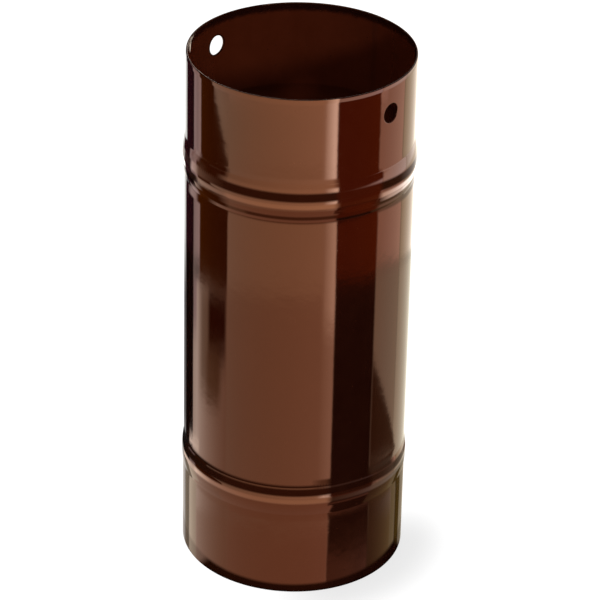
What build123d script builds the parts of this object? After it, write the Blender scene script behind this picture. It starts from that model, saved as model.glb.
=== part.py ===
from build123d import *
import os
from math import acos, cos, sin

# A short straight length of enamelled stove pipe, standing on its socket end.
# Frame: +Z up along the pipe, origin at the centre of the base rim, the two
# punched holes on the X axis. Millimetres.

# Driving dimensions
LENGTH = 250.0         # rim to rim
WALL = 0.7             # finished wall: 0.5 sheet with 0.1 enamel on each face
SPIGOT_R = 50.7        # outside radius of the top end, which enters the next pipe
BODY_R = 51.1          # outside radius between the beads
SOCKET_R = 51.5        # outside radius of the bottom end, which takes a spigot
BEAD_R = 52.0          # outside radius over the crest of each bead
LOW_BEAD_Z = 48.0      # height of the lower bead's crest above the base rim
HIGH_BEAD_Z = 200.0    # height of the upper bead's crest, 50 below the top rim
CREST_ARC = 40.0       # radius of the outside of the wide arc over the crest
ROOT_ARC = 3.0         # radius of the outside of the small hollow arc each side
RIM_ROUND = 0.2        # rounding of the enamelled rims, inside and outside
HOLE_D = 9.0           # two opposite punched holes near the top rim
HOLE_FROM_TOP = 13.8   # hole centre below the top rim
HOLE_ROUND = 0.15      # rounding of the enamelled hole edges

os.makedirs("parts", exist_ok=True)


def flank(rise):
    """Angle and half width of one side of a bead that rises this far."""
    turn = acos(1 - rise / (CREST_ARC + ROOT_ARC))
    return turn, (CREST_ARC + ROOT_ARC) * sin(turn)


def bead_line(crest_z, below_r, above_r, inset):
    """The wall's line over one bead, this far inside the outer face.

    A hollow arc, the crest arc and a second hollow arc, each tangent to the
    next. The inner face uses the same arc centres, so the rolled wall keeps
    its thickness over the bead. Returns the line's lowest and highest point.
    """
    turn_a, half_a = flank(BEAD_R - below_r)
    turn_b, half_b = flank(BEAD_R - above_r)
    crest_c = (BEAD_R - CREST_ARC, crest_z)
    crest_r, root_r = CREST_ARC - inset, ROOT_ARC + inset

    def on_crest(turn):
        return (crest_c[0] + crest_r * cos(turn), crest_c[1] + crest_r * sin(turn))

    def on_root(end_r, z, turn):
        return (end_r + ROOT_ARC - root_r * cos(turn), z + root_r * sin(turn))

    low_z, high_z = crest_z - half_a, crest_z + half_b
    start, finish = (below_r - inset, low_z), (above_r - inset, high_z)
    ThreePointArc(start, on_root(below_r, low_z, turn_a / 2), on_crest(-turn_a))
    ThreePointArc(on_crest(-turn_a), on_crest(0), on_crest(turn_b))
    ThreePointArc(on_crest(turn_b), on_root(above_r, high_z, -turn_b / 2), finish)
    return start, finish


def wall_line(inset):
    """One face of the wall from base rim to top rim, with both beads."""
    base = (SOCKET_R - inset, 0)
    top = (SPIGOT_R - inset, LENGTH)
    lower = bead_line(LOW_BEAD_Z, SOCKET_R, BODY_R, inset)
    upper = bead_line(HIGH_BEAD_Z, BODY_R, SPIGOT_R, inset)
    Line(base, lower[0])
    Line(lower[1], upper[0])
    Line(upper[1], top)
    return base, top


with BuildPart() as stove_pipe:
    # The wall's section, turned once round the pipe's axis from the weld at +Y
    with BuildSketch(Plane.YZ):
        with BuildLine():
            outer_base, outer_top = wall_line(0)
            inner_base, inner_top = wall_line(WALL)
            Line(outer_base, inner_base)
            Line(outer_top, inner_top)
        make_face()
    revolve(axis=Axis.Z)

    # Enamel rounds both edges of each rim and leaves a narrow flat between
    rims = stove_pipe.edges().filter_by(GeomType.CIRCLE)
    fillet(rims.group_by(Axis.Z)[0] + rims.group_by(Axis.Z)[-1], radius=RIM_ROUND)

    # Two opposite holes through the wall of the top end
    with BuildSketch(Plane.YZ):
        with Locations((0, LENGTH - HOLE_FROM_TOP)):
            Circle(HOLE_D / 2)
    extrude(amount=BEAD_R + 5, both=True, mode=Mode.SUBTRACT)
    hole_edges = stove_pipe.edges(Select.LAST).filter_by(
        lambda e: e.geom_type not in (GeomType.LINE, GeomType.CIRCLE)
    )
    fillet(hole_edges, radius=HOLE_ROUND)

stove_pipe.part.label = "stove_pipe"
export_step(stove_pipe.part, "parts/stove_pipe.step")
print("solids", len(stove_pipe.part.solids()), "volume", round(stove_pipe.part.volume, 1))
print("bead half widths", [round(flank(BEAD_R - r)[1], 2) for r in (SPIGOT_R, BODY_R, SOCKET_R)])
print("hole edges rounded", len(hole_edges), "box", stove_pipe.part.bounding_box().size)
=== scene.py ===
import bpy
from math import acos, asin, atan2, ceil, cos, degrees, pi, radians, sin, sqrt, tan
from mathutils import Matrix, Vector, noise


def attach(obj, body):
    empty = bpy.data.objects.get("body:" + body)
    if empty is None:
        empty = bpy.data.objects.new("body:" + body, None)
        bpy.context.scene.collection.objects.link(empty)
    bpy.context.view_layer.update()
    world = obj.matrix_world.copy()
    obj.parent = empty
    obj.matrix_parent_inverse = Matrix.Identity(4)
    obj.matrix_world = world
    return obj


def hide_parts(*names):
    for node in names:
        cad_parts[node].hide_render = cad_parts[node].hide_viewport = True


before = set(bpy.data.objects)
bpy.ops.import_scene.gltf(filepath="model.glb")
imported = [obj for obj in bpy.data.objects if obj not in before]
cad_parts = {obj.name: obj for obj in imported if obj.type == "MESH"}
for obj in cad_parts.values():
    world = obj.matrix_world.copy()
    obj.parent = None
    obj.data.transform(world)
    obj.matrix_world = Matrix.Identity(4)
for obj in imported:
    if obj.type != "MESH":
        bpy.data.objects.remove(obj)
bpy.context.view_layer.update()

MM = 0.001

# ---------------------------------------------------------------- sizes, mm
# The wall's section as in the CAD source: cylinders joined by beads of
# tangent arcs, the same arc centres for the inner face.
LENGTH = 250.0
WALL = 0.7
SPIGOT_R, BODY_R, SOCKET_R = 50.7, 51.1, 51.5
BEAD_R = 51.95         # a twentieth under the CAD's crests, which hold the relief
LOW_BEAD_Z, HIGH_BEAD_Z = 48.0, 200.0
CREST_ARC = 40.0
ROOT_ARC = 3.0
RIM_ROUND = 0.33
HOLE_R = 4.5
HOLE_Z = LENGTH - 13.8
HOLE_ROUND = 0.2
LIP = 2.1              # the top end leans in over this height below its rim
LIP_LEAN = 0.15        # by this much
WELD_HALF = 1.5        # half width of the lengthwise weld, along the wall
WELD_RISE = 0.16       # how far it stands proud, outside
WELD_RISE_IN = 0.04    # and inside


def flank(rise):
    turn = acos(1 - rise / (CREST_ARC + ROOT_ARC))
    return turn, (CREST_ARC + ROOT_ARC) * sin(turn)


def face_radius(z, inset):
    """Radius of the outer face (inset 0) or the inner face (inset WALL) at z."""
    def bead(crest_z, below_r, above_r):
        rise = BEAD_R - (below_r if z < crest_z else above_r)
        end_r = below_r if z < crest_z else above_r
        turn, half = flank(rise)
        d = abs(z - crest_z)
        crest_r, root_r = CREST_ARC - inset, ROOT_ARC + inset
        if d <= crest_r * sin(turn):
            return BEAD_R - CREST_ARC + sqrt(crest_r ** 2 - d * d)
        return end_r + ROOT_ARC - sqrt(max(root_r ** 2 - (half - d) ** 2, 0.0))

    low, high = LOW_BEAD_Z, HIGH_BEAD_Z
    if z <= low - flank(BEAD_R - SOCKET_R)[1]:
        return SOCKET_R - inset
    if z < low + flank(BEAD_R - BODY_R)[1]:
        return bead(low, SOCKET_R, BODY_R)
    if z <= high - flank(BEAD_R - BODY_R)[1]:
        return BODY_R - inset
    if z < high + flank(BEAD_R - SPIGOT_R)[1]:
        return bead(high, BODY_R, SPIGOT_R)
    up = z - (LENGTH - LIP)
    lean = 0.0 if up <= 0 else LIP_LEAN * (up * up / 0.8 if up < 0.4 else up - 0.2) / (LIP - 0.2)
    return SPIGOT_R - lean - inset


# ---------------------------------------------------------------- camera
F_PX = 3203.3
CAM_AZ = radians(40.2)
CAM_PITCH, CAM_YAW, CAM_ROLL = radians(29.418), radians(0.067), radians(1.265)
CAM_AT = Vector((0.0, -1.2672, 0.8395))


def make_camera():
    forward = Vector((sin(CAM_YAW) * cos(CAM_PITCH), cos(CAM_YAW) * cos(CAM_PITCH), -sin(CAM_PITCH)))
    right = forward.cross(Vector((0, 0, 1))).normalized()
    up = right.cross(forward)
    r2 = right * cos(CAM_ROLL) + up * sin(CAM_ROLL)
    u2 = -right * sin(CAM_ROLL) + up * cos(CAM_ROLL)
    turn = Matrix.Rotation(CAM_AZ, 3, "Z")
    r2, u2, b2 = turn @ r2, turn @ u2, turn @ (-forward)
    data = bpy.data.cameras.new("camera")
    data.sensor_width = 36.0
    data.lens = 36.0 * F_PX / 600.0
    data.clip_start, data.clip_end = 0.05, 60.0
    cam = bpy.data.objects.new("camera", data)
    at = turn @ CAM_AT
    cam.matrix_world = Matrix((
        (r2.x, u2.x, b2.x, at.x),
        (r2.y, u2.y, b2.y, at.y),
        (r2.z, u2.z, b2.z, at.z),
        (0, 0, 0, 1)))
    bpy.context.scene.collection.objects.link(cam)
    bpy.context.scene.camera = cam
    return cam


make_camera()


# ---------------------------------------------------------------- the pipe's mesh
def smooth(t):
    t = min(max(t, 0.0), 1.0)
    return t * t * (3 - 2 * t)


def relief(phi, z, inside):
    """How far the real wall leaves the ideal section, in mm, outwards."""
    r = BODY_R
    p = Vector((cos(phi) * 1.1, sin(phi) * 1.1, z / 62.0))
    wave = (noise.noise(p * 1.0) + 0.45 * noise.noise(p * 2.3 + Vector((7.0, 3.0, 1.0)))) * 0.018
    # the weld runs up the wall at +Y, ground nearly flush, a little uneven
    s = (phi - pi / 2) * r
    if abs(s) < WELD_HALF * 2:
        ripple = 1 + 0.22 * noise.noise(Vector((s * 0.5, 4.0, z * 0.55))) + 0.12 * sin(z * 2 * pi / 1.9)
        side = 0.25 * noise.noise(Vector((9.0, 2.0, z / 9.0)))
        shape = smooth(1 - abs(s - side) / WELD_HALF)
        wave += (-WELD_RISE_IN if inside else WELD_RISE) * shape * ripple
    # keep inside the ideal section's outline at the crests and the rims
    fade = 1.0
    for crest in (LOW_BEAD_Z, HIGH_BEAD_Z):
        fade = min(fade, smooth(abs(z - crest) / 7.0))
    fade = min(fade, smooth(z / 1.5) * smooth((LENGTH - z) / 1.5))
    return wave * fade


def rows():
    """Heights of the mesh's rows between the rims' roundings, both faces."""
    marks = [RIM_ROUND]

    def run(to, step):
        start = marks[-1]
        n = max(1, ceil((to - start) / step - 1e-6))
        marks.extend(start + (to - start) * (i + 1) / n for i in range(n))

    def over_bead(crest, below_r, above_r):
        for side, end_r in ((-1, below_r), (1, above_r)):
            turn, half = flank(BEAD_R - end_r)
            root = ROOT_ARC * sin(turn)
            if side < 0:
                run(crest - half, 4.4)
                run(crest - half + root, 0.2)
                run(crest, 0.85)
            else:
                run(crest + half - root, 0.85)
                run(crest + half, 0.2)

    run(1.2, 0.5)
    run(4.0, 1.4)
    over_bead(LOW_BEAD_Z, SOCKET_R, BODY_R)
    over_bead(HIGH_BEAD_Z, BODY_R, SPIGOT_R)
    run(HOLE_Z - WINDOW, 3.0)
    run(HOLE_Z + WINDOW, 1.7)
    run(LENGTH - LIP, 1.1)
    run(LENGTH - LIP + 0.4, 0.1)
    run(LENGTH - RIM_ROUND, 0.5)
    return marks


def columns():
    """Angles of the mesh's columns, finer across the weld at +Y."""
    fine = [-4.2, -3.0, -2.3, -1.9, -1.6, -1.35, -1.1, -0.85, -0.6, -0.35, -0.12, 0.12,
            0.35, 0.6, 0.85, 1.1, 1.35, 1.6, 1.9, 2.3, 3.0, 4.2]
    angles = set()
    for i in range(COLUMNS):
        a = i * 360.0 / COLUMNS
        s = radians(a - 90) * BODY_R
        if abs(s) > 4.7:
            angles.add(round(a, 6))
    for s in fine:
        angles.add(round(90 + degrees(s / BODY_R), 6))
    return [radians(a) for a in sorted(angles)]


COLUMNS = 288          # round the pipe, without the extra ones at the weld
WINDOW = 10.2          # the patch round each hole reaches this far up and down
HOLE_SPAN = 9          # and this many columns to each side


def build_pipe():
    zs, phis = rows(), columns()
    count = len(phis)
    verts, faces = [], []

    def put(phi, r, z):
        verts.append((r * cos(phi) * MM, r * sin(phi) * MM, z * MM))
        return len(verts) - 1

    def hole_cells(centre):
        """The column range of the window at +X (centre 0) or -X (centre 180)."""
        at = min(range(count), key=lambda i: abs((degrees(phis[i]) - centre + 180) % 360 - 180))
        return at

    low_row = min(range(len(zs)), key=lambda i: abs(zs[i] - (HOLE_Z - WINDOW)))
    high_row = min(range(len(zs)), key=lambda i: abs(zs[i] - (HOLE_Z + WINDOW)))
    centres = [hole_cells(0), hole_cells(180)]

    def in_window(col, row):
        """Is the cell from this column and row to the next inside a hole's window?"""
        if not low_row <= row < high_row:
            return False
        return any((col - (c - HOLE_SPAN)) % count < 2 * HOLE_SPAN for c in centres)

    def strictly_inside(col, row):
        if not low_row < row < high_row:
            return False
        return any(0 < (col - (c - HOLE_SPAN)) % count < 2 * HOLE_SPAN for c in centres)

    grids = {}
    for inside in (False, True):
        inset = WALL if inside else 0.0
        grid = {}
        for j, z in enumerate(zs):
            base = face_radius(z, inset)
            for i, phi in enumerate(phis):
                if strictly_inside(i, j):
                    continue
                grid[i, j] = put(phi, base + relief(phi, z, inside), z)
        for j in range(len(zs) - 1):
            for i in range(count):
                if in_window(i, j):
                    continue
                k = (i + 1) % count
                quad = (grid[i, j], grid[k, j], grid[k, j + 1], grid[i, j + 1])
                faces.append(quad[::-1] if inside else quad)
        grids[inside] = grid

    # rims: a quarter round, a narrow flat and a quarter round
    def rim(row, up):
        z_end = LENGTH if up else 0.0
        steps = 5
        loops = [[grids[False][i, row] for i in range(count)]]
        r_out, r_in = face_radius(zs[row], 0.0), face_radius(zs[row], WALL)
        for n in range(1, steps + 1):
            t = n / steps * pi / 2
            r = r_out - RIM_ROUND + RIM_ROUND * cos(t)
            z = z_end - RIM_ROUND + RIM_ROUND * sin(t) if up else RIM_ROUND - RIM_ROUND * sin(t)
            loops.append([put(phi, r, z) for phi in phis])
        for n in range(steps, 0, -1):
            t = n / steps * pi / 2
            r = r_in + RIM_ROUND - RIM_ROUND * cos(t)
            z = z_end - RIM_ROUND + RIM_ROUND * sin(t) if up else RIM_ROUND - RIM_ROUND * sin(t)
            loops.append([put(phi, r, z) for phi in phis])
        loops.append([grids[True][i, row] for i in range(count)])
        for a, b in zip(loops, loops[1:]):
            for i in range(count):
                k = (i + 1) % count
                quad = (a[i], a[k], b[k], b[i])
                faces.append(quad if up else quad[::-1])

    rim(len(zs) - 1, True)
    rim(0, False)

    # the patch round each hole: rings from the window's outline to the bore
    for side, c in zip((1, -1), centres):
        outline = []
        first, last = c - HOLE_SPAN, c + HOLE_SPAN
        outline += [(i % count, low_row) for i in range(first, last)]
        outline += [(last % count, j) for j in range(low_row, high_row)]
        outline += [(i % count, high_row) for i in range(last, first, -1)]
        outline += [(first % count, j) for j in range(high_row, low_row, -1)]
        # across is measured to the right seen from outside: +Y at +X, -Y at -X
        def flat(cell, inside):
            i, j = cell
            r = face_radius(zs[j], WALL if inside else 0.0)
            return side * r * sin(phis[i]), zs[j] - HOLE_Z

        def on_wall(across, up, inside):
            z = HOLE_Z + up
            r = face_radius(z, WALL if inside else 0.0)
            phi = asin(across / r)
            if side < 0:
                phi += pi
            r += relief(phi % (2 * pi), z, inside)
            return phi, r, z

        def point(across, up, depth_in, inside):
            """A point at this place across the hole's axis, this far under the face."""
            phi, r, z = on_wall(across, up, inside)
            x = sqrt(max(r * r - across * across, 0.0)) + (depth_in if inside else -depth_in)
            verts.append((side * x * MM, side * across * MM, z * MM))
            return len(verts) - 1

        rings = []
        for inside in (False, True):
            edge = [flat(cell, inside) for cell in outline]
            loops = [[grids[inside][cell] for cell in outline]]
            start = HOLE_R + HOLE_ROUND
            steps = [0.22, 0.42, 0.6, 0.75, 0.86, 0.94, 0.985]
            for t in steps:
                loop = []
                for a, u in edge:
                    d = sqrt(a * a + u * u)
                    rho = d + (start - d) * t
                    loop.append(point(a / d * rho, u / d * rho, 0.0, inside))
                loops.append(loop)
            for n in range(0, 6):
                t = n / 5 * pi / 2
                rho = start - HOLE_ROUND * sin(t)
                depth = HOLE_ROUND * (1 - cos(t))
                loop = []
                for a, u in edge:
                    d = sqrt(a * a + u * u)
                    loop.append(point(a / d * rho, u / d * rho, depth, inside))
                loops.append(loop)
            for a_loop, b_loop in zip(loops, loops[1:]):
                m = len(a_loop)
                for i in range(m):
                    k = (i + 1) % m
                    quad = (a_loop[i], a_loop[k], b_loop[k], b_loop[i])
                    faces.append(quad[::-1] if inside else quad)
            rings.append(loops[-1])
        m = len(rings[0])
        for i in range(m):
            k = (i + 1) % m
            faces.append((rings[0][i], rings[0][k], rings[1][k], rings[1][i]))

    mesh = bpy.data.meshes.new("stove_pipe_shell")
    mesh.from_pydata(verts, [], faces)
    mesh.validate()
    mesh.polygons.foreach_set("use_smooth", [True] * len(mesh.polygons))
    mesh.update()
    obj = bpy.data.objects.new("stove_pipe_enamelled", mesh)
    bpy.context.scene.collection.objects.link(obj)
    return obj


pipe = build_pipe()


# ---------------------------------------------------------------- node helpers
def new_material(name):
    mat = bpy.data.materials.new(name)
    mat.use_nodes = True
    mat.node_tree.nodes.clear()
    return mat, mat.node_tree.nodes, mat.node_tree.links


class Nodes:
    """Short ways to add nodes to a tree."""

    def __init__(self, tree):
        self.n, self.l = tree.nodes, tree.links

    def set(self, socket, value):
        if isinstance(value, bpy.types.NodeSocket):
            self.l.new(value, socket)
        elif value is not None:
            socket.default_value = value

    def math(self, op, a, b=None, c=None, clamp=False):
        node = self.n.new("ShaderNodeMath")
        node.operation, node.use_clamp = op, clamp
        for s, v in zip(node.inputs, (a, b, c)):
            self.set(s, v)
        return node.outputs[0]

    def ramp(self, value, a, b, c=0.0, d=1.0, smooth=True):
        node = self.n.new("ShaderNodeMapRange")
        node.interpolation_type = "SMOOTHSTEP" if smooth else "LINEAR"
        for s, v in zip(node.inputs, (value, a, b, c, d)):
            self.set(s, v)
        return node.outputs[0]

    def mix(self, factor, a, b, blend="MIX"):
        node = self.n.new("ShaderNodeMix")
        node.data_type, node.blend_type = "RGBA", blend
        self.set(node.inputs[0], factor)
        self.set(node.inputs[6], a)
        self.set(node.inputs[7], b)
        return node.outputs[2]

    def noise(self, vector, scale, detail=2.0, rough=0.5, distort=0.0):
        node = self.n.new("ShaderNodeTexNoise")
        self.set(node.inputs["Vector"], vector)
        self.set(node.inputs["Scale"], scale)
        self.set(node.inputs["Detail"], detail)
        self.set(node.inputs["Roughness"], rough)
        self.set(node.inputs["Distortion"], distort)
        return node.outputs["Fac"]

    def spots(self, vector, scale, random=1.0):
        """Distance to the nearest of many scattered points, in cells."""
        node = self.n.new("ShaderNodeTexVoronoi")
        node.feature = "F1"
        self.set(node.inputs["Vector"], vector)
        self.set(node.inputs["Scale"], scale)
        self.set(node.inputs["Randomness"], random)
        return node.outputs["Distance"], node.outputs["Color"]

    def stretch(self, vector, scale):
        node = self.n.new("ShaderNodeMapping")
        self.set(node.inputs["Vector"], vector)
        node.inputs["Scale"].default_value = scale
        return node.outputs[0]

    def split(self, vector):
        node = self.n.new("ShaderNodeSeparateXYZ")
        self.set(node.inputs[0], vector)
        return node.outputs

    def total(self, *values):
        out = values[0]
        for v in values[1:]:
            out = self.math("ADD", out, v)
        return out


# ---------------------------------------------------------------- enamel
def enamel():
    mat, n, l = new_material("brown_vitreous_enamel")
    t = Nodes(mat.node_tree)
    out = n.new("ShaderNodeOutputMaterial")
    bsdf = n.new("ShaderNodeBsdfPrincipled")
    l.new(bsdf.outputs[0], out.inputs[0])
    at = n.new("ShaderNodeTexCoord")
    coord = at.outputs["Object"]
    x, y, z = t.split(coord)

    # the inner face, where its normal points inwards: its lining is redder, and painted lighter than the
    # outside to stand in for light the bore lacks
    nx, ny, nz = t.split(at.outputs["Normal"])
    outwards = t.math("ADD", t.math("MULTIPLY", x, nx), t.math("MULTIPLY", y, ny))
    inner = t.ramp(outwards, 0.012, -0.012)

    # darker along both rims and round both holes, where the enamel thins at the edges; on the inner face the
    # dark band under the top rim is wider, some 5 mm deep
    ragged = t.noise(coord, 240.0, 3.0, 0.6)
    ragged = t.math("MULTIPLY", t.math("SUBTRACT", ragged, 0.5), 0.0022)
    to_top = t.math("ADD", t.math("SUBTRACT", LENGTH * MM, z), ragged)
    to_base = t.math("ADD", z, ragged)
    far = t.math("MULTIPLY_ADD", inner, 0.0044, 0.0006)
    near = t.math("MULTIPLY_ADD", inner, 0.0024, 0.0001)
    dark_top_band = t.ramp(to_top, far, near)
    thin_base = t.ramp(to_base, 0.0016, 0.0003)
    up = t.math("SUBTRACT", z, HOLE_Z * MM)
    bore = t.math("SQRT", t.math("ADD", t.math("MULTIPLY", y, y), t.math("MULTIPLY", up, up)))
    bore = t.math("ADD", bore, t.math("MULTIPLY", ragged, 0.6))
    thin_hole = t.ramp(bore, (HOLE_R + 1.1) * MM, (HOLE_R + 0.15) * MM)
    thin = t.math("MAXIMUM", t.math("MAXIMUM", dark_top_band, thin_base), thin_hole)

    # the seam where the sheet's edges were welded, burnt and a little duller
    seam = t.math("ADD", t.math("ABSOLUTE", x), t.math("MULTIPLY", ragged, 0.5))
    seam = t.math("MULTIPLY", t.ramp(seam, 0.0023, 0.0007), t.math("GREATER_THAN", y, 0.0))

    # depth of colour: broad clouds, runs down the wall, a fine mottle
    clouds = t.noise(coord, 16.0, 3.0, 0.55, 0.4)
    runs = t.noise(t.stretch(coord, (1.0, 1.0, 0.09)), 120.0, 2.0, 0.5)
    mottle = t.noise(coord, 150.0, 4.0, 0.62)
    grain = t.noise(coord, 1500.0, 2.0, 0.5)
    depth = t.total(
        t.math("MULTIPLY", clouds, 0.42),
        t.math("MULTIPLY", runs, 0.18),
        t.math("MULTIPLY", mottle, 0.30),
        t.math("MULTIPLY", grain, 0.10))
    depth = t.ramp(depth, 0.36, 0.64, smooth=False)
    colour = t.mix(depth, (0.0125, 0.0025, 0.0012, 1), (0.0205, 0.0048, 0.0023, 1))
    # partly the lining's own redder tone, partly painted light: far lighter than the outside, standing in for
    # light inside the bore
    lining_with_painted_light = t.mix(depth, (0.0480, 0.0080, 0.0024, 1), (0.0660, 0.0118, 0.0044, 1))
    colour = t.mix(inner, colour, lining_with_painted_light)

    # specks fired into the glaze, a few dark and a few rusty
    near, cell = t.spots(coord, 520.0)
    pick = t.split(cell)[0]
    dark = t.math("MULTIPLY", t.ramp(near, 0.15, 0.07), t.math("GREATER_THAN", pick, 0.90))
    rusty = t.math("MULTIPLY", t.ramp(near, 0.16, 0.08), t.math("LESS_THAN", pick, 0.06))
    colour = t.mix(t.math("MULTIPLY", dark, 0.75), colour, (0.006, 0.0028, 0.0022, 1))
    colour = t.mix(t.math("MULTIPLY", rusty, 0.6), colour, (0.060, 0.018, 0.007, 1))
    burnt = t.math("MULTIPLY", seam, t.math("MULTIPLY_ADD", inner, -0.25, 0.45))
    colour = t.mix(burnt, colour, (0.012, 0.0055, 0.0042, 1))
    colour = t.mix(t.math("MULTIPLY", thin, 0.88), colour, (0.0054, 0.0014, 0.0010, 1))
    l.new(colour, bsdf.inputs["Base Color"])

    # gloss: mirror-like, with faint handling smears, duller specks and edges
    smear = t.noise(t.stretch(coord, (1.0, 1.0, 0.45)), 30.0, 5.0, 0.6, 0.8)
    smear = t.ramp(smear, 0.52, 0.74)
    rough = t.total(
        0.036,
        t.math("MULTIPLY", mottle, 0.024),
        t.math("MULTIPLY", smear, 0.040),
        t.math("MULTIPLY", dark, 0.12),
        t.math("MULTIPLY", seam, 0.08),
        t.math("MULTIPLY", thin, 0.09))
    l.new(rough, bsdf.inputs["Roughness"])

    # orange peel, a finer ripple, and a pit at each dark speck
    peel = t.noise(coord, 230.0, 2.0, 0.5)
    ripple = t.noise(coord, 900.0, 2.0, 0.5)
    height = t.total(
        t.math("MULTIPLY", peel, 1.0),
        t.math("MULTIPLY", ripple, 0.16),
        t.math("MULTIPLY", dark, -0.5),
        t.math("MULTIPLY", t.noise(coord, 60.0, 2.0, 0.5), 2.2))
    bump = n.new("ShaderNodeBump")
    bump.inputs["Strength"].default_value = 1.0
    bump.inputs["Distance"].default_value = 0.0000065
    l.new(height, bump.inputs["Height"])
    l.new(bump.outputs[0], bsdf.inputs["Normal"])

    bsdf.inputs["IOR"].default_value = 1.6
    bsdf.inputs["Specular Tint"].default_value = (1.0, 0.42, 0.21, 1)
    return mat


pipe.data.materials.append(enamel())


# ---------------------------------------------------------------- surroundings
def stage_mesh(name, verts, faces, mat, camera=False, diffuse=False, glossy=False):
    mesh = bpy.data.meshes.new(name)
    mesh.from_pydata(verts, [], faces)
    mesh.materials.append(mat)
    obj = bpy.data.objects.new(name, mesh)
    obj.rotation_euler = (0, 0, CAM_AZ)
    bpy.context.scene.collection.objects.link(obj)
    obj.visible_camera, obj.visible_diffuse, obj.visible_glossy = camera, diffuse, glossy
    obj.visible_transmission = obj.visible_volume_scatter = False
    obj.visible_shadow = False
    return obj


def sphere(radius, rings=32, seg=64):
    verts = [(0, 0, radius)]
    for j in range(1, rings):
        e = pi / 2 - pi * j / rings
        for i in range(seg):
            a = 2 * pi * i / seg
            verts.append((radius * cos(e) * cos(a), radius * cos(e) * sin(a), radius * sin(e)))
    verts.append((0, 0, -radius))
    faces = []
    for i in range(seg):
        k = (i + 1) % seg
        faces.append((0, 1 + k, 1 + i))
        for j in range(rings - 2):
            a, b = 1 + j * seg, 1 + (j + 1) * seg
            faces.append((a + i, a + k, b + k, b + i))
        last = 1 + (rings - 2) * seg
        faces.append((last + i, last + k, len(verts) - 1))
    return verts, faces


def disc(radius, seg=128, z=0.0):
    return [(radius * cos(2 * pi * i / seg), radius * sin(2 * pi * i / seg), z) for i in range(seg)], [tuple(range(seg))]


def make_floor():
    mat, n, l = new_material("pale_floor")
    t = Nodes(mat.node_tree)
    out = n.new("ShaderNodeOutputMaterial")
    add = n.new("ShaderNodeAddShader")
    bsdf = n.new("ShaderNodeBsdfDiffuse")
    emit = n.new("ShaderNodeEmission")
    bsdf.inputs["Color"].default_value = (0.20, 0.20, 0.20, 1)
    x, y, z = t.split(n.new("ShaderNodeTexCoord").outputs["Object"])
    r = t.math("SQRT", t.math("ADD", t.math("MULTIPLY", x, x), t.math("MULTIPLY", y, y)))
    # brightly lit all round by an even glow, with a soft shadow painted into that glow close to the wall
    #     # on the side away from the back light, and no glow inside the pipe, which is left to the lamps
    a = radians(52)
    toward = t.math("ADD", t.math("MULTIPLY", x, sin(a)), t.math("MULTIPLY", y, -cos(a)))
    side = t.ramp(t.math("DIVIDE", toward, r), 0.3, 0.9)
    # painted shadow: the glow is darkened close to the wall on that side
    close = t.math("MULTIPLY", t.ramp(r, 0.086, 0.056), side)
    glow_with_painted_shadow = t.math("MULTIPLY", t.ramp(r, 0.0505, 0.0512), t.math("MULTIPLY_ADD", close, -0.27, 0.94))
    l.new(glow_with_painted_shadow, emit.inputs["Strength"])
    l.new(bsdf.outputs[0], add.inputs[0])
    l.new(emit.outputs[0], add.inputs[1])
    l.new(add.outputs[0], out.inputs[0])
    mat.cycles.emission_sampling = "NONE"
    verts, faces = disc(12.0)
    return stage_mesh("floor", verts, faces, mat, camera=True)


def dome_az(angle):
    """Dome azimuth seen in the wall at this angle from the line to the camera."""
    return 2 * angle - 0.73 * sin(radians(angle))


def dome_el(height):
    """Dome elevation seen in the wall at this height, carried on past both ends."""
    return -23.6 - (LENGTH - height) * 0.0515


class Backdrop:
    """Panels and flags laid one over the other, placed by where the wall shows
    them from the front: an angle round the pipe, in degrees to the right of the
    line to the camera, and a height up it, in mm."""

    def __init__(self, t, azim, elev, ground):
        self.t, self.azim, self.elev, self.colour = t, azim, elev, ground

    def edge(self, at, low, high, soft):
        """Mask that is 1 to the right of an edge, which may lean."""
        t = self.t
        if isinstance(at, tuple):
            a, b = dome_az(at[0]), dome_az(at[1])
            e0, e1 = dome_el(low), dome_el(high)
            slope = (b - a) / (e1 - e0)
            line = t.math("MULTIPLY_ADD", self.elev, slope, a - slope * e0)
            value = t.math("SUBTRACT", self.azim, line)
            return t.ramp(value, -soft, soft)
        a = dome_az(at)
        return t.ramp(self.azim, a - soft, a + soft)

    def add(self, left, right, low, high, rgb, rgb2=None, soft=(0.7, 4.0)):
        t = self.t
        sa, se = soft[0] * 2, soft[1] * 0.0515
        mask = None

        def both(a, b):
            return b if a is None else t.math("MULTIPLY", a, b)

        if left is not None:
            mask = both(mask, self.edge(left, low, high, sa))
        if right is not None:
            mask = both(mask, t.math("SUBTRACT", 1.0, self.edge(right, low, high, sa)))
        if low is not None:
            mask = both(mask, t.ramp(self.elev, dome_el(low) - se, dome_el(low) + se))
        if high is not None:
            mask = both(mask, t.ramp(self.elev, dome_el(high) + se, dome_el(high) - se))
        paint = (*rgb, 1)
        if rgb2 is not None:
            l = left[0] if isinstance(left, tuple) else left
            r = right[0] if isinstance(right, tuple) else right
            across = t.ramp(self.azim, dome_az(l), dome_az(r), smooth=False)
            paint = t.mix(across, (*rgb, 1), (*rgb2, 1))
        self.colour = t.mix(mask, self.colour, paint)


def polar(t, coord):
    """Azimuth and elevation in degrees; azimuth 0 faces the camera, + to its right."""
    x, y, z = t.split(coord)
    flat = t.math("SQRT", t.math("ADD", t.math("MULTIPLY", x, x), t.math("MULTIPLY", y, y)))
    elev = t.math("MULTIPLY", t.math("ARCTAN2", z, flat), 180 / pi)
    azim = t.math("MULTIPLY", t.math("ARCTAN2", x, t.math("MULTIPLY", y, -1.0)), 180 / pi)
    return azim, elev, flat


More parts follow.
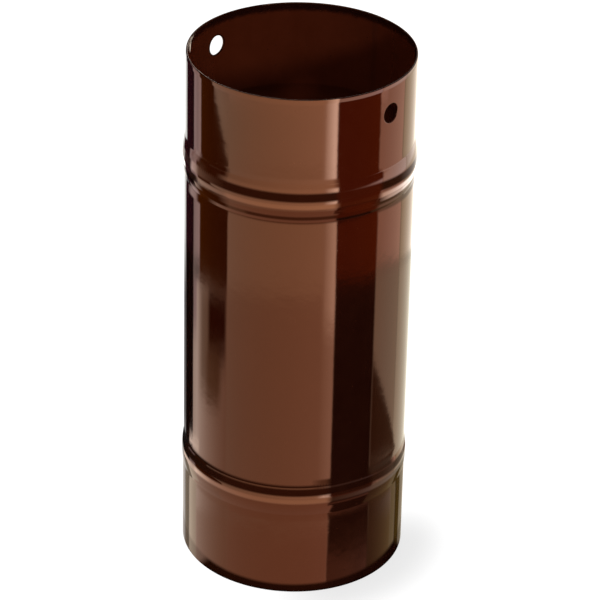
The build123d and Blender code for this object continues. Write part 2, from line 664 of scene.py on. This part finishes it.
def make_dome():
    """What the gloss sees: soft panels and dark flags round the pipe."""
    mat, n, l = new_material("reflected_studio")
    t = Nodes(mat.node_tree)
    out = n.new("ShaderNodeOutputMaterial")
    emit = n.new("ShaderNodeEmission")
    l.new(emit.outputs[0], out.inputs[0])
    azim, elev, _ = polar(t, n.new("ShaderNodeTexCoord").outputs["Object"])
    b = Backdrop(t, azim, elev, (0.010, 0.004, 0.003, 1))
    LOW, TOP = None, 1100       # the panels' ends
    FOOT, SIDE = 47, 64         # where the low ones stop, in front and at the sides

    # left limb
    b.add(-91, -78.2, LOW, TOP, (1.15, 1.15, 1.12))
    b.add(-91, -78.0, 68, 160, (0.20, 0.19, 0.19), soft=(0.7, 22))
    b.add(-78.2, -65.5, 165, TOP, (0.045, 0.010, 0.018))
    # the dark flag beside it, a dim red
    b.add(-60.0, -36.5, 150, TOP, (0.25, 0.06, 0.0))
    # the light strip left of the dark flag
    b.add(-65.5, -58.7, LOW, TOP, (0.90, 0.66, 0.62), (1.80, 1.36, 1.34))
    b.add(-66.4, -61.5, 205, TOP, (1.22, 0.90, 0.88))
    b.add(-65.5, -58.7, 153, 163, (0.55, 0.45, 0.40), soft=(0.7, 5))
    # lower left of the middle, where that flag ends
    b.add(-65.5, -58.7, LOW, 128, (1.50, 1.20, 1.00), (2.45, 2.12, 1.85), soft=(0.7, 10))
    b.add(-61.5, -36.5, LOW, 152, (2.20, 1.85, 1.60), (1.50, 1.05, 0.82), soft=(1.0, 3))
    b.add(-58.0, -42.0, 101, 152, (0.98, 0.72, 0.54), (0.80, 0.50, 0.30), soft=(3.0, 10))
    b.add(-50.5, -38.0, 118, 150, (0.13, 0.015, 0.0), soft=(1.6, 6))
    b.add(-52.0, -42.0, 98, 122, (0.62, 0.35, 0.19), soft=(2.5, 8))
    # the broad middle panel
    b.add(-37.5, 19.7, LOW, 205, (1.62, 1.24, 1.00), (2.36, 1.80, 1.62))
    b.add(-37.5, 18.6, 200, TOP, (1.62, 1.24, 1.00), (2.36, 1.80, 1.62))
    b.add(-37.5, 19.7, 152, 205, (2.02, 1.70, 1.42), (3.10, 2.60, 2.35), soft=(0.7, 5))
    b.add(-37.5, 18.6, 198, TOP, (2.02, 1.70, 1.42), (3.10, 2.60, 2.35), soft=(0.7, 5))
    b.add((-37.5, -47.8), 18.6, 211, 244, (1.95, 1.75, 1.45), (3.70, 3.20, 3.05), soft=(0.7, 4))
    b.add(-47.8, 18.6, 244, TOP, (2.10, 1.85, 1.58), (4.10, 3.60, 3.40), soft=(0.7, 8))
    # the bright edge of that panel
    b.add(13.0, 19.7, 60, 140, (2.4, 1.9, 1.72), (3.2, 2.8, 2.8), soft=(1.6, 14))
    b.add(13.0, 19.7, 138, 205, (3.0, 2.6, 2.5), (6.0, 6.3, 7.0), soft=(1.6, 9))
    b.add(12.0, 18.8, 202, TOP, (3.9, 3.7, 3.9), (10.8, 13.5, 17.5), soft=(1.8, 6))
    # the dark band, reddish above
    b.add(19.7, 43.2, LOW, 205, (0.02, 0.004, 0.002))
    b.add(19.7, 43.2, 159, 205, (0.60, 0.09, 0.0), soft=(0.7, 4))
    b.add(18.8, 43.2, 202, TOP, (0.60, 0.09, 0.0), soft=(0.7, 4))
    b.add(18.8, 43.2, 330, 480, (3.3, 3.3, 4.2), (3.4, 3.2, 3.9), soft=(0.7, 30))
    # right of it
    b.add(43.2, 62.5, 163, TOP, (2.30, 1.45, 1.15), (1.90, 1.15, 0.84), soft=(0.8, 4))
    b.add(43.2, 62.5, 330, 560, (3.6, 3.1, 3.1), (2.7, 2.3, 2.1), soft=(0.8, 30))
    b.add(43.2, 48.0, 240, 345, (3.3, 2.35, 2.1), (2.6, 1.7, 1.5), soft=(0.8, 6))
    b.add(43.2, 62.5, LOW, 163, (1.50, 1.28, 1.00), (1.02, 0.76, 0.52), soft=(0.8, 4))
    b.add(62.5, 91, 163, TOP, (1.46, 1.12, 0.72), (2.25, 2.10, 1.90), soft=(1.2, 4))
    b.add(62.5, 91, 320, TOP, (2.3, 2.0, 1.7), (3.2, 3.0, 2.8), soft=(1.2, 30))
    b.add(62.5, 91, LOW, 163, (1.34, 1.08, 0.76), (1.28, 1.25, 1.06), soft=(1.2, 4))
    b.add(43.2, (68.0, 43.5), 72, 120, (0.16, 0.075, 0.035), soft=(0.9, 3))
    b.add(43.2, 62.5, LOW, 72, (0.19, 0.11, 0.06), (0.66, 0.50, 0.36), soft=(0.9, 3))

    # low down, where the wall below the lower bead shows them
    b.add(-91, -76.5, LOW, SIDE, (0.86, 0.80, 0.74))
    b.add(-76.5, -69.5, LOW, SIDE, (0.50, 0.41, 0.30), soft=(1.2, 4))
    b.add(-69.5, -60.5, LOW, SIDE, (1.85, 1.62, 1.28), soft=(1.2, 4))
    b.add(-70.5, -58.7, 64, 78, (2.6, 2.1, 1.8), (3.2, 2.8, 2.4), soft=(1.2, 4))
    b.add(-60.5, -36.0, LOW, FOOT, (1.62, 1.24, 1.02), (1.58, 1.08, 0.80), soft=(1.2, 4))
    b.add(-36.0, 18.6, LOW, FOOT, (1.62, 1.08, 0.82), (1.90, 1.22, 1.02), soft=(1.2, 4))
    b.add(18.8, 43.2, LOW, FOOT, (0.03, 0.01, 0.0))
    b.add(18.8, 43.2, LOW, 34, (0.59, 0.31, 0.24))
    # lower still, seen by the underside of the beads alone
    b.add(20.0, 45.0, LOW, -9, (0.03, 0.01, 0.005), soft=(1.2, 3))
    b.add(-91, -76.0, LOW, -42, (0.50, 0.41, 0.30), soft=(1.2, 12))
    b.add(-76.0, -68.5, LOW, -42, (0.90, 0.66, 0.62), (1.80, 1.36, 1.34), soft=(1.2, 12))
    b.add(-68.5, -43.0, LOW, -42, (1.45, 1.05, 0.85), (1.50, 1.05, 0.82), soft=(1.2, 12))
    b.add(-43.0, 22.0, LOW, -42, (1.62, 1.08, 0.82), (1.90, 1.22, 1.02), soft=(1.2, 12))
    b.add(22.0, 50.0, LOW, -42, (0.05, 0.02, 0.01), soft=(1.2, 12))
    b.add(50.0, 72.0, LOW, -42, (0.27, 0.17, 0.09), (0.52, 0.36, 0.16), soft=(1.2, 12))
    b.add(43.2, 62.5, LOW, FOOT, (0.27, 0.17, 0.09), (0.52, 0.36, 0.16))
    b.add(62.5, 67.5, LOW, SIDE, (0.56, 0.43, 0.22))
    b.add(67.5, 75.5, LOW, SIDE, (0.16, 0.10, 0.02), soft=(1.2, 4))
    b.add(75.5, 91, LOW, SIDE, (0.44, 0.35, 0.22), (0.74, 0.65, 0.52), soft=(1.8, 4))

    l.new(b.colour, emit.inputs["Color"])
    # the panels fade upwards; a soft light overhead catches the rims
    level = t.total(
        t.ramp(elev, 2.0, 34.0, 1.0, 0.30, smooth=False),
        t.ramp(elev, 44.0, 60.0, 0.0, 13.0))
    l.new(level, emit.inputs["Strength"])
    mat.cycles.emission_sampling = "NONE"
    verts, faces = sphere(4.0)
    obj = stage_mesh("studio_dome", verts, faces, mat, glossy=True)
    obj.location = (0, 0, 0.125)
    return obj


def make_near_floor():
    """The shaded floor inside the pipe and close round its foot, for the gloss.
    It is open on the left and at the far right, where light reaches the foot."""
    mat, n, l = new_material("reflected_floor")
    t = Nodes(mat.node_tree)
    out = n.new("ShaderNodeOutputMaterial")
    emit = n.new("ShaderNodeEmission")
    clear = n.new("ShaderNodeBsdfTransparent")
    fade = n.new("ShaderNodeMixShader")
    azim, _, r = polar(t, n.new("ShaderNodeTexCoord").outputs["Object"])
    outside = t.ramp(r, 0.0508, 0.0512)
    ring = t.mix(t.ramp(azim, card_az(17.5), card_az(21.0)), (0.08, 0.03, 0.008, 1), (0.005, 0.002, 0.001, 1))
    l.new(t.mix(outside, (0.020, 0.008, 0.005, 1), ring), emit.inputs["Color"])
    shade = t.math("MULTIPLY", t.ramp(azim, card_az(-55.0), card_az(-48.0), 0.3, 1.0), t.ramp(azim, card_az(74.0), card_az(68.0), 0.35, 1.0))
    shade = t.math("MULTIPLY", shade, t.ramp(r, 0.0590, 0.0560))
    t.set(fade.inputs[0], t.math("MAXIMUM", shade, t.math("SUBTRACT", 1.0, outside)))
    l.new(clear.outputs[0], fade.inputs[1])
    l.new(emit.outputs[0], fade.inputs[2])
    l.new(fade.outputs[0], out.inputs[0])
    mat.cycles.emission_sampling = "NONE"
    verts, faces = disc(0.0595, z=0.00002)
    return stage_mesh("near_floor", verts, faces, mat, glossy=True)


CARD_R = 55.0          # the cards stand this far from the pipe's axis
CARD_SOFT = 0.8        # and each fades out over twice this, along its edges


def card_reach(angle):
    """How far a card is from the bead, along the sight line's mirror image."""
    r, a = 51.6, radians(angle)
    return sqrt(CARD_R ** 2 - (r * sin(a)) ** 2) - r * cos(a)


def card_az(angle):
    """Azimuth on a card seen in a bead at this angle from the line to the camera."""
    r, a, t = 51.6, radians(angle), card_reach(angle)
    return degrees(atan2(r * sin(a) + t * sin(2 * a), r * cos(a) + t * cos(2 * a)))


def card_dip(angle):
    """How much lower a card is seen at this angle than in the middle."""
    drop = tan(radians(25.7 + 3.8 * (1 - cos(radians(angle)))))
    return (card_reach(angle) - card_reach(0)) * drop + 2.2 * smooth((angle - 25) / 50)


def make_card(name, low, high, ground, patches, span=(-90, 90)):
    """A narrow card close round a bead, light or dark, which the bead shows as a
    line. It dips to the sides, where a bead shows what is farther from it."""
    mat, n, l = new_material("reflected_" + name)
    t = Nodes(mat.node_tree)
    out = n.new("ShaderNodeOutputMaterial")
    emit = n.new("ShaderNodeEmission")
    clear = n.new("ShaderNodeBsdfTransparent")
    fade = n.new("ShaderNodeMixShader")
    across = n.new("ShaderNodeAttribute")
    across.attribute_name = "across"
    azim, _, _ = polar(t, n.new("ShaderNodeTexCoord").outputs["Object"])
    first, last = card_az(span[0]), card_az(span[1])
    before, after = (2.0, 6.0) if span[1] - span[0] > 40 else (3.0, 9.0)
    edges = t.math("MINIMUM", across.outputs["Fac"], t.math("SUBTRACT", 1.0, across.outputs["Fac"]))
    mask = t.ramp(edges, 0.0, CARD_SOFT * 2 / (high - low + CARD_SOFT * 2))
    mask = t.math("MULTIPLY", mask, t.ramp(azim, first - before, first + after))
    mask = t.math("MULTIPLY", mask, t.ramp(azim, last + before, last - after))
    t.set(fade.inputs[0], mask)
    l.new(clear.outputs[0], fade.inputs[1])
    l.new(emit.outputs[0], fade.inputs[2])
    l.new(fade.outputs[0], out.inputs[0])
    colour = (*ground, 1)
    for at, (left, right, rgb, rgb2) in enumerate(patches):
        a, b = card_az(left), card_az(right)
        paint = t.mix(t.ramp(azim, a, b, smooth=False), (*rgb, 1), (*rgb2, 1))
        colour = t.mix(t.ramp(azim, a - 2.5, a + 2.5), colour, paint)
        if at + 1 == len(patches) or patches[at + 1][0] > right:
            colour = t.mix(t.ramp(azim, b - 2.5, b + 2.5), colour, (*ground, 1))
    t.set(emit.inputs["Color"], colour)
    mat.cycles.emission_sampling = "NONE"
    seg = ceil((span[1] - span[0]) / 1.5)
    verts, faces = [], []
    for z in (low - CARD_SOFT, high + CARD_SOFT):
        for i in range(seg + 1):
            angle = span[0] + (span[1] - span[0]) * i / seg
            az, dip = radians(card_az(angle)), card_dip(angle)
            verts.append((CARD_R * sin(az) * MM, -CARD_R * cos(az) * MM, (z - dip) * MM))
    for i in range(seg):
        faces.append((i, i + 1, seg + 2 + i, seg + 1 + i))
    obj = stage_mesh(name, verts, faces, mat, glossy=True)
    values = obj.data.attributes.new("across", "FLOAT", "POINT")
    values.data.foreach_set("value", [0.0] * (seg + 1) + [1.0] * (seg + 1))
    return obj


def make_cards():
    brown, brown2 = (3.4, 2.8, 2.35), (5.0, 4.4, 3.9)
    # upper bead: dark above its crest, light at the crest, dim below
    make_card("card_a", 200.6, 205.3, (0.24, 0.10, 0.05), [
        (-90, -76, (1.3, 1.2, 1.15), (1.0, 0.92, 0.86)),
        (-76, -65.5, (0.10, 0.05, 0.05), (0.10, 0.05, 0.05)),
        (-65.5, -59, (2.6, 2.1, 2.0), (2.2, 1.8, 1.6)),
        (-59, -38, (0.95, 0.62, 0.45), (0.24, 0.10, 0.05)),
        (18.6, 43.2, (0.58, 0.10, 0.01), (0.58, 0.10, 0.01)),
        (43.2, 58, (0.14, 0.06, 0.02), (0.16, 0.09, 0.05)),
        (58, 76, (0.22, 0.15, 0.10), (0.95, 0.88, 0.80)),
        (76, 90, (1.2, 1.15, 1.05), (2.0, 1.9, 1.8))])
    make_card("card_b", 196.4, 199.1, (4.5, 4.3, 4.1), [
        (-76, -65.5, (0.10, 0.04, 0.05), (0.10, 0.04, 0.05)),
        (-65.5, -59, (0.05, 0.03, 0.02), (0.12, 0.06, 0.04)),
        (-59, -38, (2.2, 1.75, 1.45), (2.4, 2.0, 1.7)),
        (-38, 18.6, brown, brown2),
        (18.6, 43.2, (0.70, 0.16, 0.04), (0.70, 0.16, 0.04)),
        (43.2, 62, (5.2, 4.6, 4.1), (6.0, 5.6, 5.2)),
        (62, 76, (6.0, 5.8, 5.4), (3.6, 3.5, 3.3))])
    make_card("card_c", 189.0, 191.6, (1.3, 1.2, 1.1), [
        (-78, -66, (0.045, 0.010, 0.018), (0.045, 0.010, 0.018)),
        (-66, -62, (0.5, 0.35, 0.30), (0.5, 0.35, 0.30)),
        (-62, -38, (0.25, 0.06, 0.0), (0.25, 0.06, 0.0)),
        (-38, -27, (0.90, 0.60, 0.40), (0.85, 0.55, 0.36)),
        (-27, 18.6, (0.46, 0.23, 0.13), (0.58, 0.30, 0.19)),
        (18.6, 43.2, (0.52, 0.08, 0.01), (0.52, 0.08, 0.01)),
        (43.2, 62, (1.1, 0.72, 0.52), (0.95, 0.72, 0.52)),
        (62, 78, (0.80, 0.66, 0.46), (1.1, 1.0, 0.85))])
    make_card("card_f", 193.9, 196.4, (3.9, 3.4, 3.0), [
        (62, 80, (5.2, 4.9, 4.5), (3.4, 3.3, 3.1))], span=(43, 80))
    make_card("card_h", 207.4, 209.8, (0.60, 0.09, 0.0), [
        (-65.5, -59, (1.5, 1.15, 1.1), (1.6, 1.2, 1.15)),
        (-59, -38, (0.25, 0.06, 0.0), (0.25, 0.06, 0.0)),
        (-38, 18.6, (2.0, 1.75, 1.5), (3.8, 3.3, 3.1))], span=(-67, 46))
    make_card("card_j", 190.4, 195.2, (0.25, 0.06, 0.0), [], span=(-62, -36))
    make_card("card_l", 204.2, 208.6, (0.25, 0.06, 0.0), [
        (-61, -50, (0.60, 0.36, 0.24), (0.25, 0.06, 0.0))], span=(-61, -37))
    make_card("card_o", 185.2, 189.6, (0.25, 0.06, 0.0), [
        (-74, -62, (1.1, 0.82, 0.78), (1.4, 1.05, 1.0))], span=(-74, -46))
    make_card("card_m", 191.4, 196.3, (0.66, 0.11, 0.01), [], span=(17, 44))
    make_card("card_p", 194.6, 198.2, (0.06, 0.03, 0.02), [], span=(-71, -56))
    # lower bead: dark above its crest, light at the crest
    make_card("card_d", 50.7, 55.0, (0.21, 0.09, 0.05), [
        (-90, -74, (0.01, 0.01, 0.01), (0.01, 0.01, 0.01)),
        (-74, -38, (0.03, 0.015, 0.01), (0.14, 0.06, 0.03)),
        (18.6, 43.2, (0.01, 0.004, 0.002), (0.02, 0.01, 0.005)),
        (43.2, 62, (0.16, 0.10, 0.06), (0.36, 0.28, 0.20)),
        (62, 78, (0.24, 0.19, 0.12), (0.55, 0.47, 0.36))])
    make_card("card_g", 54.6, 57.6, (0.26, 0.19, 0.13), [
        (10, 18.6, (1.0, 0.70, 0.55), (1.0, 0.70, 0.55)),
        (18.6, 43.2, (0.02, 0.005, 0.002), (0.02, 0.005, 0.002))], span=(10, 64))
    make_card("card_n", 49.3, 50.8, (0.14, 0.09, 0.07), [], span=(16, 47))
    make_card("card_k", 54.2, 56.0, (0.04, 0.04, 0.04), [], span=(-89, -72))
    make_card("card_e", 46.2, 48.9, (0.9, 0.85, 0.8), [
        (-76, -60, (1.9, 1.5, 1.25), (3.0, 2.5, 2.1)),
        (-60, -47, (4.8, 4.2, 3.6), (4.0, 3.4, 2.9)),
        (-47, 18.6, (3.4, 2.8, 2.4), (3.9, 3.3, 2.9)),
        (18.6, 43.2, (0.40, 0.34, 0.31), (0.85, 0.72, 0.70)),
        (43.2, 62, (1.0, 0.88, 0.72), (0.9, 0.8, 0.65)),
        (62, 78, (0.8, 0.70, 0.52), (0.6, 0.55, 0.42))])


def make_ambient():
    """A soft light on the pipe and the floor from all round, most from overhead."""
    mat, n, l = new_material("ambient_light")
    out = n.new("ShaderNodeOutputMaterial")
    emit = n.new("ShaderNodeEmission")
    emit.inputs["Color"].default_value = (1, 1, 1, 1)
    t = Nodes(mat.node_tree)
    _, elev, _ = polar(t, n.new("ShaderNodeTexCoord").outputs["Object"])
    t.set(emit.inputs["Strength"], t.ramp(elev, 30.0, 60.0, 0.11, 1.7))
    l.new(emit.outputs[0], out.inputs[0])
    mat.cycles.emission_sampling = "NONE"
    verts, faces = sphere(9.0, 12, 24)
    return stage_mesh("ambient_dome", verts, faces, mat, diffuse=True)


def make_lights():
    world = bpy.data.worlds.new("studio")
    bpy.context.scene.world = world
    world.use_nodes = True
    bg = world.node_tree.nodes["Background"]
    bg.inputs[0].default_value = (1, 1, 1, 1)
    bg.inputs[1].default_value = 1.0
    world.cycles_visibility.diffuse = False
    world.cycles_visibility.glossy = False

    def area(name, az, el, dist, size, power):
        light = bpy.data.lights.new(name, "AREA")
        light.shape, light.size, light.energy = "DISK", size, power
        obj = bpy.data.objects.new(name, light)
        a, e = CAM_AZ + radians(az), radians(el)
        d = Vector((sin(a) * cos(e), -cos(a) * cos(e), sin(e)))
        obj.location = Vector((0, 0, 0.12)) + d * dist
        obj.rotation_euler = d.to_track_quat("Z", "Y").to_euler()
        bpy.context.scene.collection.objects.link(obj)
        obj.visible_glossy = False
        return obj

    area("key", 26, 21, 2.2, 0.30, 21)
    area("back", -135, 40, 2.4, 1.4, 5)


make_floor()
make_dome()
make_near_floor()
make_cards()
make_ambient()
make_lights()
bpy.context.scene.view_settings.view_transform = "Standard"

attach(pipe, "root")
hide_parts("stove_pipe")
